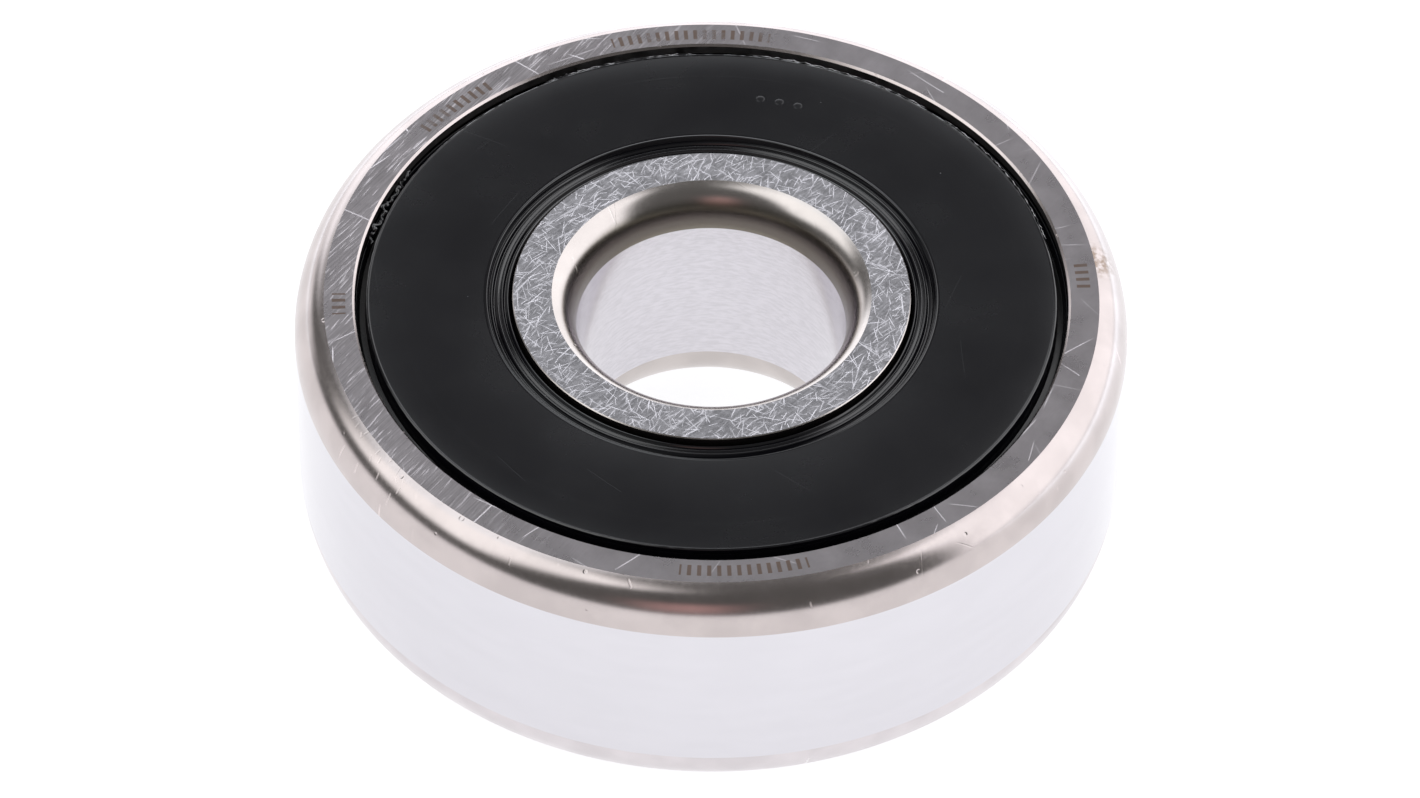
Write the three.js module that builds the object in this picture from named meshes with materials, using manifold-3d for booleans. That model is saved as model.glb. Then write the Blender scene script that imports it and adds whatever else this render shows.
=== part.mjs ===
// A sealed single-row deep-groove ball bearing, 12 mm bore, 37 mm outside diameter, 12 mm wide.
// Millimetres, +Z along the shaft axis. The origin is on the axis, in the plane of the lower side face.
import * as THREE from "three";
import { mergeVertices } from "three/addons/utils/BufferGeometryUtils.js";
import Module from "manifold-3d";

const wasm = await Module();
wasm.setup();

// Boundary sizes, from the standard table for this bearing.
const BORE_R = 6;
const OUTSIDE_R = 18.5;
const WIDTH = 12;
const MIDDLE = WIDTH / 2;

// The balls and the circle that their centres run on.
const BALLS = 6;
const BALL_R = 3.969;
const PITCH_R = (BORE_R + OUTSIDE_R) / 2;
const BALL_SPACING = (2 * Math.PI) / BALLS;
const RACEWAY_CLEARANCE = 0.12;

// Corners of the rings: a quarter of an ellipse, longer along the axis than across it.
const OUTER_CORNER = { across: 1.34, along: 2.04 };
const BORE_CORNER = { across: 1.08, along: 1.98 };

// Outer ring: the recess at each side that a seal snaps into, and the shoulder beside the raceway.
const OUTER_SHOULDER_R = 14.75;
const OUTER_GROOVE_R = 1.05 * BALL_R;
const RECESS_R = 15.78;
const RECESS_LIP = 0.5;
const UNDERCUT_R = 16.15;
const UNDERCUT_TOP = 0.9;
const LEDGE = 1.55;

// Inner ring: the land that a seal lip runs on, and the shoulder beside the raceway.
const INNER_LAND_R = 8.82;
const INNER_LAND_DEPTH = 1.1;
const INNER_SHOULDER_R = 9.75;
const INNER_SHOULDER_DEPTH = 1.7;
const INNER_GROOVE_R = 1.03 * BALL_R;

// Cage: two pressed steel ribbons, each with a pocket for every ball, riveted between the pockets.
const SHEET = 0.5;
const POCKET_CLEARANCE = 0.2;
const CAGE_INNER_R = 10.65;
const CAGE_OUTER_R = 13.8;
const RIVET_R = 0.6;
const RIVET_HOLE_R = 0.68;
const RIVET_HEAD_R = 1.15;
const RIVET_HEAD_HEIGHT = 0.5;

// Seals: a steel washer with its rim turned inwards, and the rubber that covers its outside. Depths are
// measured in from the side face of the bearing.
const WASHER_INNER_R = 10.1;
const WASHER_OUTER_R = 15.2;
const WASHER_DEPTH = 0.75;
const WASHER_SHEET = 0.3;
const WASHER_RIM = 0.65;
const SEAL_FACE_INNER_R = 10.02;
const SEAL_FACE_OUTER_R = 15.26;
const SEAL_FACE_DEPTH = 0.04;
const SEAL_STEP_DEPTH = 0.4;
const FIT_GAP = 0.04;

// The running lip of a seal: a tip beside the inner ring's land, and a thin waist that lets it flex.
const LIP_R = 8.9;
const LIP_TIP_R = 9.1;
const LIP_WAIST_R = 9.4;
const LIP_ROOT_R = 9.7;
const LIP_SLOPE_R = 9.85;
const LIP_DEPTH = 0.3;
const LIP_WAIST_DEPTH = 0.75;
const LIP_TIP_DEPTH = 1.02;

// How finely round shapes are faceted.
const RING_SIDES = 48;
const CORNER_STEPS = 3;
const RACEWAY_STEPS = 6;
const BALL_SIDES = 16;
const BALL_BANDS = 10;
const POCKET_SIDES = 16;
const POCKET_BANDS = 12;
const RIVET_SIDES = 10;

const ringSteel = new THREE.MeshStandardMaterial({ color: 0xb9b8bb, roughness: 0.28, metalness: 1 });
const ballSteel = new THREE.MeshStandardMaterial({ color: 0xc8c9cc, roughness: 0.08, metalness: 1 });
const cageSteel = new THREE.MeshStandardMaterial({ color: 0x9c9a95, roughness: 0.45, metalness: 1 });
const rivetSteel = new THREE.MeshStandardMaterial({ color: 0xa9a7a2, roughness: 0.4, metalness: 1 });
const washerSteel = new THREE.MeshStandardMaterial({ color: 0x8d8c88, roughness: 0.5, metalness: 1 });
const sealRubber = new THREE.MeshStandardMaterial({ color: 0x151618, roughness: 0.45, metalness: 0 });

// A point of a cross-section: distance from the axis, then height.
function at(radius, height) {
  return new THREE.Vector2(radius, height);
}

// Turns a closed cross-section about the Z axis. Its points run anticlockwise, with the radius to the right.
function turned(section, sides) {
  const geometry = new THREE.LatheGeometry([...section, section[0]], sides);
  return geometry.rotateX(Math.PI / 2);
}

// A quarter of an ellipse about a centre, from one angle to the other, in steps.
function corner(centreR, centreZ, size, from, to) {
  const points = [];
  for (let i = 0; i <= CORNER_STEPS; i++) {
    const angle = from + ((to - from) * i) / CORNER_STEPS;
    points.push(at(centreR + size.across * Math.cos(angle), centreZ + size.along * Math.sin(angle)));
  }
  return points;
}

// The arc of a raceway groove between its two shoulders, from one side of the middle plane to the other.
// side is 1 for the outer ring, whose groove bulges outwards, and -1 for the inner ring.
function raceway(side, grooveR, shoulderR) {
  const bottomR = PITCH_R + side * (BALL_R + RACEWAY_CLEARANCE);
  const centreR = bottomR - side * grooveR;
  const halfAngle = Math.acos((side * (shoulderR - centreR)) / grooveR);
  const points = [];
  for (let i = 0; i <= RACEWAY_STEPS; i++) {
    const angle = side * halfAngle * (1 - (2 * i) / RACEWAY_STEPS);
    points.push(at(centreR + side * grooveR * Math.cos(angle), MIDDLE + grooveR * Math.sin(angle)));
  }
  return points;
}

// The same points on the other side of the middle plane, in the opposite order.
function mirrored(points) {
  return points.map((p) => at(p.x, WIDTH - p.y)).reverse();
}

function outerRing() {
  const faceR = OUTSIDE_R - OUTER_CORNER.across;
  const lowerCorner = corner(faceR, OUTER_CORNER.along, OUTER_CORNER, -Math.PI / 2, 0);
  const lowerRecess = [
    at(OUTER_SHOULDER_R, LEDGE),
    at(UNDERCUT_R, LEDGE),
    at(UNDERCUT_R, UNDERCUT_TOP),
    at(RECESS_R, RECESS_LIP),
    at(RECESS_R, 0),
  ];
  return turned(
    [
      ...lowerCorner,
      ...mirrored(lowerCorner),
      ...mirrored(lowerRecess),
      ...raceway(1, OUTER_GROOVE_R, OUTER_SHOULDER_R),
      ...lowerRecess,
    ],
    RING_SIDES,
  );
}

function innerRing() {
  const faceR = BORE_R + BORE_CORNER.across;
  const lowerCorner = corner(faceR, BORE_CORNER.along, BORE_CORNER, Math.PI, 1.5 * Math.PI);
  const lowerLand = [
    at(INNER_LAND_R, 0),
    at(INNER_LAND_R, INNER_LAND_DEPTH),
    at(INNER_SHOULDER_R, INNER_SHOULDER_DEPTH),
  ];
  return turned(
    [
      ...lowerCorner,
      ...lowerLand,
      ...raceway(-1, INNER_GROOVE_R, INNER_SHOULDER_R),
      ...mirrored(lowerLand),
      ...mirrored(lowerCorner),
    ],
    RING_SIDES,
  );
}

function ball() {
  return new THREE.SphereGeometry(BALL_R, BALL_SIDES, BALL_BANDS).rotateX(Math.PI / 2);
}

// A closed three.js geometry as a solid that can be cut and joined, and back again.
function solid(geometry) {
  const bare = geometry.clone();
  bare.deleteAttribute("normal");
  bare.deleteAttribute("uv");
  const merged = mergeVertices(bare, 1e-5);
  return new wasm.Manifold(
    new wasm.Mesh({
      numProp: 3,
      vertProperties: merged.attributes.position.array,
      triVerts: new Uint32Array(merged.index.array),
    }),
  );
}

function geometryOf(piece) {
  const mesh = piece.getMesh();
  const geometry = new THREE.BufferGeometry();
  geometry.setAttribute("position", new THREE.BufferAttribute(mesh.vertProperties, 3));
  geometry.setIndex(new THREE.BufferAttribute(mesh.triVerts, 1));
  geometry.computeVertexNormals();
  return geometry;
}

// A ring of rectangular section, from one height to another.
function band(innerR, outerR, low, high) {
  return turned([at(innerR, low), at(outerR, low), at(outerR, high), at(innerR, high)], RING_SIDES);
}

// One half of the cage, above the plane z = 0: flat between the pockets and domed over each ball.
function cageHalf() {
  const pocketR = BALL_R + POCKET_CLEARANCE;
  const domeR = pocketR + SHEET;
  let sheet = solid(band(CAGE_INNER_R, CAGE_OUTER_R, 0, SHEET));
  let hollows = null;
  for (let i = 0; i < BALLS; i++) {
    const ballX = PITCH_R * Math.cos(i * BALL_SPACING);
    const ballY = PITCH_R * Math.sin(i * BALL_SPACING);
    const dome = new THREE.SphereGeometry(domeR, POCKET_SIDES, POCKET_BANDS).rotateX(Math.PI / 2);
    const hollow = new THREE.SphereGeometry(pocketR, POCKET_SIDES, POCKET_BANDS).rotateX(Math.PI / 2);
    sheet = sheet.add(solid(dome.translate(ballX, ballY, 0)));
    const cut = solid(hollow.translate(ballX, ballY, 0));
    hollows = hollows ? hollows.add(cut) : cut;
    const rivetAngle = (i + 0.5) * BALL_SPACING;
    const hole = new THREE.CylinderGeometry(RIVET_HOLE_R, RIVET_HOLE_R, 4 * SHEET, RIVET_SIDES);
    hole.rotateX(Math.PI / 2);
    hole.translate(PITCH_R * Math.cos(rivetAngle), PITCH_R * Math.sin(rivetAngle), 0);
    hollows = hollows.add(solid(hole));
  }
  const kept = solid(band(CAGE_INNER_R, CAGE_OUTER_R, 0, domeR + SHEET));
  return geometryOf(sheet.intersect(kept).subtract(hollows));
}

// A rivet about its own middle: a plain shank with a domed head closed over each side of the cage.
function rivet() {
  const headLow = SHEET + FIT_GAP;
  const headTop = headLow + RIVET_HEAD_HEIGHT;
  const upper = [
    at(RIVET_R, headLow),
    at(RIVET_HEAD_R, headLow),
    at(0.75 * RIVET_HEAD_R, headLow + 0.75 * RIVET_HEAD_HEIGHT),
    at(0, headTop),
  ];
  const lower = upper.map((p) => at(p.x, -p.y)).reverse();
  return new THREE.LatheGeometry([...lower, ...upper], RIVET_SIDES).rotateX(Math.PI / 2);
}

// The steel washer of the lower seal: flat, with its outer rim turned in towards the balls.
function sealWasher() {
  const inside = WASHER_DEPTH + WASHER_SHEET;
  return turned(
    [
      at(WASHER_INNER_R, WASHER_DEPTH),
      at(WASHER_OUTER_R, WASHER_DEPTH),
      at(WASHER_OUTER_R, WASHER_DEPTH + WASHER_RIM),
      at(WASHER_OUTER_R - WASHER_SHEET, WASHER_DEPTH + WASHER_RIM),
      at(WASHER_OUTER_R - WASHER_SHEET, inside),
      at(WASHER_INNER_R, inside),
    ],
    RING_SIDES,
  );
}

// The rubber of the lower seal: a flat face, a snap bead in the outer ring's undercut, and a running lip.
function sealRubberRing() {
  const underside = WASHER_DEPTH - FIT_GAP;
  const beadInnerR = WASHER_OUTER_R + FIT_GAP;
  const rootR = WASHER_INNER_R - FIT_GAP;
  return turned(
    [
      at(LIP_R, LIP_DEPTH),
      at(LIP_SLOPE_R, LIP_DEPTH),
      at(SEAL_FACE_INNER_R, SEAL_FACE_DEPTH),
      at(SEAL_FACE_OUTER_R, SEAL_FACE_DEPTH),
      at(SEAL_FACE_OUTER_R, SEAL_STEP_DEPTH),
      at(RECESS_R - FIT_GAP, SEAL_STEP_DEPTH),
      at(RECESS_R - FIT_GAP, RECESS_LIP + FIT_GAP),
      at(UNDERCUT_R - FIT_GAP, UNDERCUT_TOP + FIT_GAP),
      at(UNDERCUT_R - FIT_GAP, LEDGE - FIT_GAP),
      at(beadInnerR, LEDGE - FIT_GAP),
      at(beadInnerR, underside),
      at(rootR, underside),
      at(rootR, WASHER_DEPTH + WASHER_SHEET),
      at(LIP_ROOT_R, WASHER_DEPTH + WASHER_SHEET),
      at(LIP_WAIST_R, LIP_WAIST_DEPTH),
      at(LIP_TIP_R, LIP_TIP_DEPTH),
      at(LIP_R, LIP_TIP_DEPTH),
    ],
    RING_SIDES,
  );
}

const bearing = new THREE.Group();

function place(parent, name, geometry, material) {
  const mesh = new THREE.Mesh(geometry, material);
  mesh.name = name;
  parent.add(mesh);
  return mesh;
}

// Everything fixed to the outer ring. The upper seal is the lower one turned over.
place(bearing, "outer_ring", outerRing(), ringSteel);
const lowerSide = new THREE.Group();
const upperSide = new THREE.Group();
upperSide.rotation.x = Math.PI;
upperSide.position.z = WIDTH;
bearing.add(lowerSide, upperSide);
for (const [side, group] of [["lower", lowerSide], ["upper", upperSide]]) {
  place(group, side + "_seal_washer", sealWasher(), washerSteel);
  place(group, side + "_seal_rubber", sealRubberRing(), sealRubber);
}

place(bearing, "inner_ring", innerRing(), ringSteel);

// The cage, its rivets and the balls, on the middle plane.
const rollingSet = new THREE.Group();
rollingSet.position.z = MIDDLE;
bearing.add(rollingSet);
const upperCage = place(rollingSet, "upper_cage_half", cageHalf(), cageSteel);
upperCage.position.z = FIT_GAP / 2;
const lowerCage = place(rollingSet, "lower_cage_half", cageHalf(), cageSteel);
lowerCage.rotation.x = Math.PI;
lowerCage.position.z = -FIT_GAP / 2;
for (let i = 0; i < BALLS; i++) {
  const ballAngle = i * BALL_SPACING;
  const rivetAngle = ballAngle + BALL_SPACING / 2;
  const ballMesh = place(rollingSet, "ball_" + (i + 1), ball(), ballSteel);
  ballMesh.position.set(PITCH_R * Math.cos(ballAngle), PITCH_R * Math.sin(ballAngle), 0);
  const rivetMesh = place(rollingSet, "cage_rivet_" + (i + 1), rivet(), rivetSteel);
  rivetMesh.position.set(PITCH_R * Math.cos(rivetAngle), PITCH_R * Math.sin(rivetAngle), 0);
}

export default bearing;
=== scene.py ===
import math

import bpy
import numpy as np
from mathutils import Matrix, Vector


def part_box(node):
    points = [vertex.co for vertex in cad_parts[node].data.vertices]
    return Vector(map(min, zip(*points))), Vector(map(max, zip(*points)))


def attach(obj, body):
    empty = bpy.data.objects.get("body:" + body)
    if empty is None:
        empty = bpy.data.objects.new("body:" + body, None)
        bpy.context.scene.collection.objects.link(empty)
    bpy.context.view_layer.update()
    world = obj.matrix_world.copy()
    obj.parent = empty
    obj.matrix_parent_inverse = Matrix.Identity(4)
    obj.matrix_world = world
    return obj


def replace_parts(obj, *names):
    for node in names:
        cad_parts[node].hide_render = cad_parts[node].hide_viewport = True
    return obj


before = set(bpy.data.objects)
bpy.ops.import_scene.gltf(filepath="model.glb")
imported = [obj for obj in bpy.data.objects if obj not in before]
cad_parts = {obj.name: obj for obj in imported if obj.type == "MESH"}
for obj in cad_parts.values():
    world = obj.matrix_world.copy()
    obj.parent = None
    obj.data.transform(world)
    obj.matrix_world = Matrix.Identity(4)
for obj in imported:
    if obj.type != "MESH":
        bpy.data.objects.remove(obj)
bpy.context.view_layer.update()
scene = bpy.context.scene
MM = 0.001

# ---------------------------------------------------------------------------------------------------------
# Camera. A long lens, in front of the bearing, looks down on its upper side at a little over 46 degrees.
# It is rolled by less than a degree, as a camera held on a stand often is.
camera_data = bpy.data.cameras.new("camera")
camera_data.sensor_width = 36.0
camera_data.lens = 184.6
camera = bpy.data.objects.new("camera", camera_data)
camera.matrix_world = (
    Matrix.Translation((0.0, -0.2243, 0.2434))
    @ Matrix.Rotation(math.radians(43.275), 4, "X")
    @ Matrix.Rotation(math.radians(0.9), 4, "Z")
)
scene.collection.objects.link(camera)
scene.camera = camera
scene.view_settings.view_transform = "Standard"


# ---------------------------------------------------------------------------------------------------------
# Studio. The bearing lies on a white lit table. Large soft panels stand to its left and right, a white
# wall behind it, and the room above and in front is dim. Polished steel shows all of them.
def add(tree, kind, inputs=None, **settings):
    """A new shader node. Each input takes a fixed value, or the output socket of another node."""
    node = tree.nodes.new("ShaderNode" + kind)
    for key, value in settings.items():
        setattr(node, key, value)
    for key, value in (inputs or {}).items():
        if isinstance(value, bpy.types.NodeSocket):
            tree.links.new(value, node.inputs[key])
        else:
            node.inputs[key].default_value = value
    return node


def calc(tree, operation, a, b=0.0, c=0.0):
    """The output socket of a Math node."""
    return add(tree, "Math", {0: a, 1: b, 2: c}, operation=operation).outputs[0]


def product(tree, *values):
    """The output socket of several values multiplied together."""
    total = values[0]
    for value in values[1:]:
        total = calc(tree, "MULTIPLY", total, value)
    return total


def step(tree, value, start, end):
    """Rises smoothly from 0 where the value is start to 1 where it is end, which may be the lower one."""
    sockets = {"Value": value, "From Min": start, "From Max": end}
    return add(tree, "MapRange", sockets, interpolation_type="SMOOTHSTEP").outputs["Result"]


def panel(tree, direction, azimuth, elevation, roll, half_width, half_height, soft):
    """1 where a direction meets a distant flat panel, 0 beside it, with a soft border.

    The direction is turned until the panel's middle lies along +Y. Then x/y and z/y say where on the panel
    it falls, measured as tangents of the angles from its middle. Azimuth 0 is the camera's side.
    """
    turns = (("Z_AXIS", 180.0 - azimuth), ("X_AXIS", -elevation), ("Y_AXIS", roll))
    for axis, angle in turns:
        sockets = {"Vector": direction, "Angle": math.radians(angle)}
        direction = add(tree, "VectorRotate", sockets, rotation_type=axis).outputs[0]
    parts = add(tree, "SeparateXYZ", {0: direction}).outputs
    ahead = calc(tree, "MAXIMUM", parts["Y"], 0.001)
    inside = None
    for part, half in (("X", half_width), ("Z", half_height)):
        tangent = calc(tree, "ABSOLUTE", calc(tree, "DIVIDE", parts[part], ahead))
        edge = step(tree, tangent, math.tan(math.radians(half + soft)), math.tan(math.radians(half - soft)))
        inside = edge if inside is None else calc(tree, "MULTIPLY", inside, edge)
    return inside


world = bpy.data.worlds.new("studio")
world.use_nodes = True
scene.world = world
sky = world.node_tree
sky.nodes.clear()
way = add(sky, "TexCoord").outputs["Generated"]
PANELS = (
    # azimuth, elevation, roll, half width, half height, soft border (degrees), colour, strength
    (-175, 0, 0, 31, 33, 7, (1.0, 1.02, 1.06), 1.80),
    (-138, 0, 0, 15, 12, 8, (1.0, 1.0, 1.02), 1.25),
    (109, 0, 8, 47, 69, 5, (1.0, 1.0, 1.02), 1.68),
    (-83, 52, 0, 25, 27, 8, (0.99, 1.0, 1.0), 1.60),
    (-138, 62, 0, 16, 12, 5, (0.96, 1.0, 1.03), 1.55),
    (-5, 19, 0, 9, 10, 8, (1.0, 0.63, 0.61), 0.62),
)
light = add(sky, "RGB")
light.outputs[0].default_value = (0.125, 0.125, 0.122, 1.0)
light = light.outputs[0]
for azimuth, elevation, roll, half_width, half_height, soft, colour, strength in PANELS:
    shown = panel(sky, way, azimuth, elevation, roll, half_width, half_height, soft)
    tint = tuple(strength * part for part in colour) + (1.0,)
    light = add(sky, "Mix", {0: shown, 6: light, 7: tint}, data_type="RGBA").outputs[2]
height = add(sky, "SeparateXYZ", {0: way}).outputs["Z"]
table_edge = step(sky, height, 0.11, 0.0)
light = add(sky, "Mix", {0: table_edge, 6: light, 7: (1.0, 1.0, 1.03, 1.0)}, data_type="RGBA").outputs[2]
seen = add(sky, "LightPath").outputs["Is Camera Ray"]
light = add(sky, "Mix", {0: seen, 6: light, 7: (1.1, 1.1, 1.1, 1.0)}, data_type="RGBA").outputs[2]
background = add(sky, "Background", {"Color": light})
add(sky, "OutputWorld", {"Surface": background.outputs[0]})

TABLE_HALF = 1.2
table_mesh = bpy.data.meshes.new("table")
corners = [(x * TABLE_HALF, y * TABLE_HALF, 0.0) for x, y in ((-1, -1), (1, -1), (1, 1), (-1, 1))]
table_mesh.from_pydata(corners, [], [(0, 1, 2, 3)])
table = bpy.data.objects.new("table", table_mesh)
scene.collection.objects.link(table)
lit_white = bpy.data.materials.new("lit_white_table")
lit_white.use_nodes = True
surface = lit_white.node_tree
surface.nodes.clear()
matt = add(surface, "BsdfDiffuse", {"Color": (0.30, 0.30, 0.30, 1.0)})
across_table = add(surface, "SeparateXYZ", {0: add(surface, "TexCoord").outputs["Object"]}).outputs
farther = step(surface, calc(surface, "MULTIPLY_ADD", across_table["X"], 0.45, across_table["Y"]), 0.0, 0.12)
front_glow, back_glow = (0.90, 0.90, 0.915, 1.0), (1.62, 1.74, 1.86, 1.0)
lit = add(surface, "Mix", {0: farther, 6: front_glow, 7: back_glow}, data_type="RGBA")
glow = add(surface, "Emission", {"Color": lit.outputs[2], "Strength": 1.0})
both = add(surface, "AddShader", {0: matt.outputs[0], 1: glow.outputs[0]})
add(surface, "OutputMaterial", {"Surface": both.outputs[0]})
table_mesh.materials.append(lit_white)


# ---------------------------------------------------------------------------------------------------------
# Outer ring. Bearing steel, turned, hardened and ground. Its outside is ground smooth, its sides are
# ground flat with a coarser wheel, and its corners keep the slightly warm colour of turned, tumbled steel.
# A recess at each side takes the seal, and the raceway between them is honed for the balls.
def material(name, base, metallic, roughness):
    """A new material with a Principled BSDF: (material, its tree, the shader, the object coordinates)."""
    made = bpy.data.materials.new(name)
    made.use_nodes = True
    tree = made.node_tree
    shader = tree.nodes["Principled BSDF"]
    shader.inputs["Base Color"].default_value = (*base, 1.0)
    shader.inputs["Metallic"].default_value = metallic
    shader.inputs["Roughness"].default_value = roughness
    return made, tree, shader, add(tree, "TexCoord").outputs["Object"]


def group(name, inputs, output):
    """A new node group: (group, its tree's inputs by name, a function that sets what it puts out)."""
    made = bpy.data.node_groups.new(name, "ShaderNodeTree")
    for label, value in inputs.items():
        kind = "NodeSocketVector" if value is None else "NodeSocketFloat"
        socket = made.interface.new_socket(name=label, in_out="INPUT", socket_type=kind)
        if value is not None:
            socket.default_value = value
    made.interface.new_socket(name=output, in_out="OUTPUT", socket_type="NodeSocketFloat")
    start = made.nodes.new("NodeGroupInput")
    end = made.nodes.new("NodeGroupOutput")
    return made, start.outputs, lambda socket: made.links.new(socket, end.inputs[0])


def use(tree, made, position, inputs):
    """The output socket of a new group node that takes the object coordinates and some fixed values."""
    return add(tree, "Group", {"Vector": position, **inputs}, node_tree=made).outputs[0]


def noise(tree, vector, scale, detail=2.0, roughness=0.5):
    """The output socket of a noise texture, which varies about 0.5."""
    sockets = {"Vector": vector, "Scale": scale, "Detail": detail, "Roughness": roughness}
    return add(tree, "TexNoise", sockets).outputs[0]


def scaled(tree, vector, x, y, z):
    """The vector with each part multiplied by its own factor."""
    sockets = {0: vector, 1: (x, y, z)}
    return add(tree, "VectorMath", sockets, operation="MULTIPLY").outputs[0]


def turned_back(tree, vector, angle):
    """The X, Y and Z of a vector that is turned about Z by minus the angle."""
    sockets = {"Vector": vector, "Angle": calc(tree, "MULTIPLY", angle, -1.0)}
    turned = add(tree, "VectorRotate", sockets, rotation_type="Z_AXIS").outputs[0]
    return add(tree, "SeparateXYZ", {0: turned}).outputs


def from_axis(tree, vector):
    """How far a point is from the Z axis, in metres."""
    flat = scaled(tree, vector, 1.0, 1.0, 0.0)
    return add(tree, "VectorMath", {0: flat}, operation="LENGTH").outputs["Value"]


def from_point(tree, vector, point):
    """How far a point is, in metres, from one that is given in mm."""
    sockets = {0: vector, 1: tuple(part * MM for part in point)}
    return add(tree, "VectorMath", sockets, operation="DISTANCE").outputs["Value"]


def in_cells(tree, vector, spacing):
    """The vector, counted in the spacing of a pattern's cells."""
    sockets = {0: vector, "Scale": calc(tree, "DIVIDE", 1.0, spacing)}
    return add(tree, "VectorMath", sockets, operation="SCALE").outputs[0]


def bumped(tree, shader, relief, strength, distance):
    """Gives a material a relief. The distance, in metres, is how high a relief of 1 stands."""
    sockets = {"Height": relief, "Strength": strength, "Distance": distance}
    tree.links.new(add(tree, "Bump", sockets).outputs[0], shader.inputs["Normal"])


# Grinding lay: fine straight streaks that all run one way. Position is turned about Z, so that the streaks
# run along X, and drives noise that is slow along them and fine across them. Turn is their direction, in
# radians from +X. Along and Across count the noise's waves in a metre.
grinding_lay, g, put_out = group(
    "grinding_lay", {"Vector": None, "Turn": 1.0, "Along": 350.0, "Across": 14000.0}, "Streak"
)
placed = turned_back(grinding_lay, g["Vector"], g["Turn"])
slow = product(grinding_lay, placed[0], g["Along"])
quick = product(grinding_lay, placed[1], g["Across"])
place = add(grinding_lay, "CombineXYZ", {0: slow, 1: quick, 2: g["Turn"]}).outputs[0]
put_out(noise(grinding_lay, place, 1.0))


# Handling scratches: the surface is divided into irregular cells, and a share of them holds one straight
# scratch through the cell's middle that thins out towards its ends. Turn is its mean direction, in radians
# from +X, and Scatter is how far directions spread.
scratches, g, put_out = group(
    "scratches",
    {
        "Vector": None,
        "Spacing": 0.001,
        "Width": 0.03,
        "Length": 0.45,
        "Share": 0.6,
        "Seed": 0.0,
        "Turn": 0.0,
        "Scatter": 6.3,
    },
    "Scratch",
)
tree = scratches
shift = add(tree, "CombineXYZ", {0: g["Seed"], 1: calc(tree, "MULTIPLY", g["Seed"], 1.7)}).outputs[0]
spread = in_cells(tree, g["Vector"], g["Spacing"])
spread = add(tree, "VectorMath", {0: spread, 1: shift}, operation="ADD").outputs[0]
cells = add(tree, "TexVoronoi", {"Vector": spread, "Scale": 1.0}, voronoi_dimensions="2D").outputs
chance = add(tree, "SeparateColor", {0: cells["Color"]}).outputs
from_middle = add(tree, "VectorMath", {0: spread, 1: cells["Position"]}, operation="SUBTRACT").outputs[0]
off_mean = product(tree, calc(tree, "SUBTRACT", chance[0], 0.5), g["Scatter"])
along = turned_back(tree, from_middle, calc(tree, "ADD", off_mean, g["Turn"]))
bow = product(tree, along[0], along[0], 0.05)
aside = calc(tree, "ABSOLUTE", calc(tree, "ADD", along[1], bow))
line = step(tree, aside, g["Width"], 0.0)
ends = step(tree, calc(tree, "ABSOLUTE", along[0]), g["Length"], product(tree, g["Length"], 0.4))
present = calc(tree, "LESS_THAN", chance[1], g["Share"])
put_out(product(tree, line, ends, present, calc(tree, "MULTIPLY_ADD", chance[2], 0.7, 0.3)))

# Specks: the space is divided into irregular cells, and a share of them holds a round speck, which is a
# dent in steel or a grain of dust on rubber.
specks, g, put_out = group("specks", {"Vector": None, "Spacing": 0.001, "Size": 0.1, "Share": 0.3}, "Speck")
tree = specks
cells = add(tree, "TexVoronoi", {"Vector": in_cells(tree, g["Vector"], g["Spacing"]), "Scale": 1.0}).outputs
chance = add(tree, "SeparateColor", {0: cells["Color"]}).outputs
reach = product(tree, g["Size"], calc(tree, "MULTIPLY_ADD", chance[1], 0.8, 0.2))
dot = step(tree, cells["Distance"], reach, product(tree, reach, 0.5))
put_out(product(tree, dot, calc(tree, "LESS_THAN", chance[0], g["Share"])))

# Etched ticks: a row of short plain bars across a ring's side, evenly spaced around it. The angle from the
# middle of the row, counted in spaces, says which bar a point is nearest to.
etched_ticks, g, put_out = group(
    "etched_ticks",
    {"Vector": None, "Middle": 0.0, "Space": 0.02, "Bars": 6.0, "Low": 0.0162, "High": 0.0168},
    "Etched",
)
tree = etched_ticks
row = turned_back(tree, g["Vector"], g["Middle"])
angle = calc(tree, "ARCTAN2", row[0], calc(tree, "MULTIPLY", row[1], -1.0))
counted = calc(tree, "DIVIDE", angle, g["Space"])
off_bar = calc(tree, "ABSOLUTE", calc(tree, "SUBTRACT", calc(tree, "FRACT", counted), 0.5))
bar = step(tree, off_bar, 0.26, 0.16)
in_row = calc(tree, "LESS_THAN", calc(tree, "ABSOLUTE", counted), product(tree, g["Bars"], 0.5))
radius = from_axis(tree, g["Vector"])
above = calc(tree, "GREATER_THAN", radius, g["Low"])
below = calc(tree, "LESS_THAN", radius, g["High"])
put_out(product(tree, bar, in_row, above, below))


def most(tree, values):
    """The highest of several values."""
    best = values[0]
    for value in values[1:]:
        best = calc(tree, "MAXIMUM", best, value)
    return best


def blend(tree, share, from_colour, to_colour):
    """The output socket of a colour mix. A plain colour is given as three numbers."""
    sockets = {0: share, 6: from_colour, 7: to_colour}
    for key in (6, 7):
        if isinstance(sockets[key], tuple):
            sockets[key] = (*sockets[key], 1.0)
    return add(tree, "Mix", sockets, data_type="RGBA").outputs[2]


def times(colour, factor):
    """A colour made lighter or darker, up to white."""
    return tuple(min(1.0, factor * part) for part in colour)


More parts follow.
